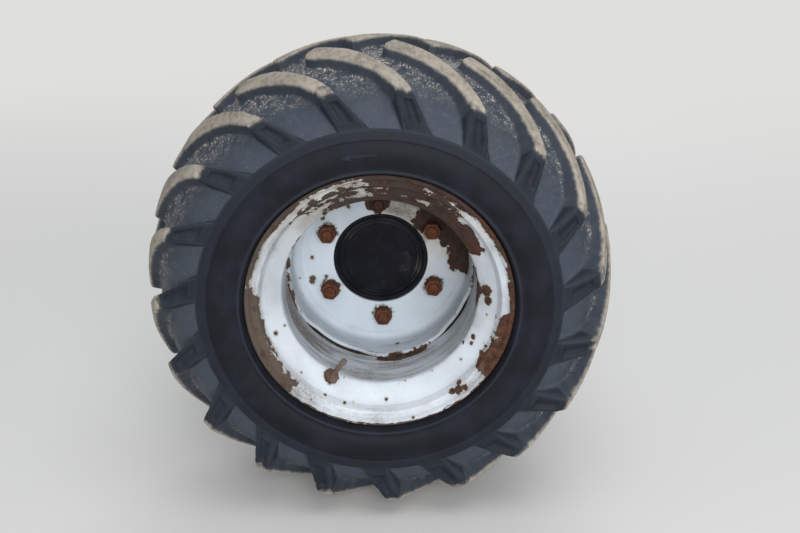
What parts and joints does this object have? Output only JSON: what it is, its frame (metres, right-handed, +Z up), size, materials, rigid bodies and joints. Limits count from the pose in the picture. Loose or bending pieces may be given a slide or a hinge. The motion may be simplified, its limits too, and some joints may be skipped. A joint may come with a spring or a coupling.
{
  "type": "loader wheel on its axle end",
  "caption": "Wide lugged tyre on a dished steel rim with its hub, turning on the spindle of a bolt-on axle arm with a frame pad and a splined half shaft.",
  "frame": {"origin": "centre of the axle arm's inner flange face, on the spin axis", "axes": "+Y along the spin axis into the machine, so the wheel's outer side faces -Y; +Z up; +X level, to the right seen from the wheel's outer side"},
  "size_m": [0.7614, 0.559, 0.7608],
  "materials": {
    "tyre": "worn rubber with dust",
    "rim_paint": "chipped pale paint with rust",
    "rusty_steel": "rusted",
    "black_plastic": "matt",
    "black_paint": "satin black paint",
    "axle_paint": "satin black paint with dust",
    "bare_steel": "machined and oiled"
  },
  "bodies": {
    "axle": {"axle_arm": "axle_paint", "oil_plug": "bare_steel"},
    "wheel": {"tyre": "tyre", "rim": "rim_paint", "wheel_disc": "rim_paint", "wheel_studs": "rusty_steel", "wheel_nuts": "rusty_steel", "valve": "rusty_steel", "valve_cap": "black_plastic", "hub": "black_paint", "hub_cover": "black_paint"},
    "drive": {"half_shaft": "bare_steel"}
  },
  "joints": [
    {"name": "wheel_spin", "type": "hinge", "parent": "axle", "child": "wheel", "pos_m": [0, -0.3, 0], "axis": [0, 1, 0], "continuous": true},
    {"name": "shaft_spin", "type": "hinge", "parent": "axle", "child": "drive", "pos_m": [0, -0.05, 0], "axis": [0, 1, 0], "continuous": true}
  ],
  "couplings": [
    {"joint": "shaft_spin", "follows": "wheel_spin", "ratio": 6}
  ]
}
